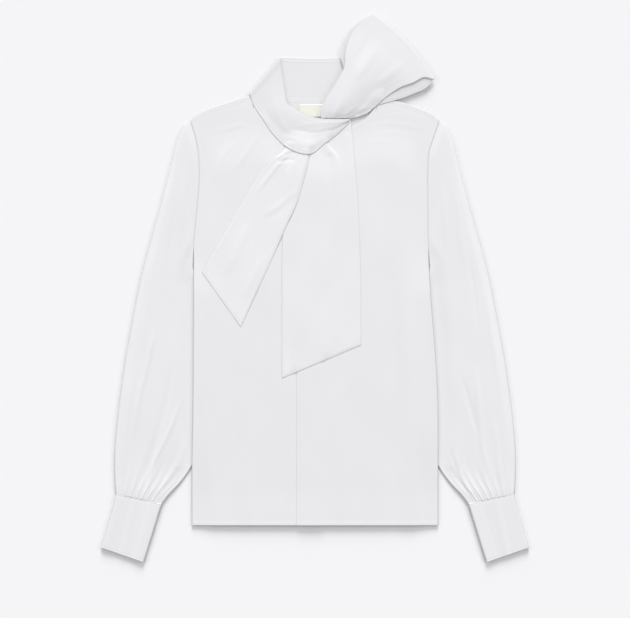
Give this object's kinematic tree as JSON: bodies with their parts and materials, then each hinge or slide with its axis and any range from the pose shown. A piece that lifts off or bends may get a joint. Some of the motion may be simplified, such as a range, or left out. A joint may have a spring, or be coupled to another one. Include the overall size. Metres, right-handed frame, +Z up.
{
  "type": "tie neck blouse",
  "caption": "Long-sleeved silk blouse laid flat, with a soft half-bow neck tie, hidden front fastening and sleeves gathered into deep cuffs.",
  "frame": {"origin": "centre of the outline seen from above, on the surface the blouse lies on", "axes": "+Z up off the surface, +Y from the hem towards the neck, +X towards the wearer's left"},
  "size_m": [0.6842, 0.878, 0.0168],
  "materials": {
    "silk": "off-white silk crepe, matt with a soft sheen",
    "label": "ivory woven label, left bare"
  },
  "bodies": {
    "root": {"back": "silk", "front_right": "silk", "front_left": "silk", "sleeve_right": "silk", "sleeve_left": "silk", "cuff_right": "silk", "cuff_left": "silk", "neck_tie": "silk", "bow_loop": "silk", "tail_long": "silk", "tail_short": "silk", "label": "label"}
  },
  "joints": []
}
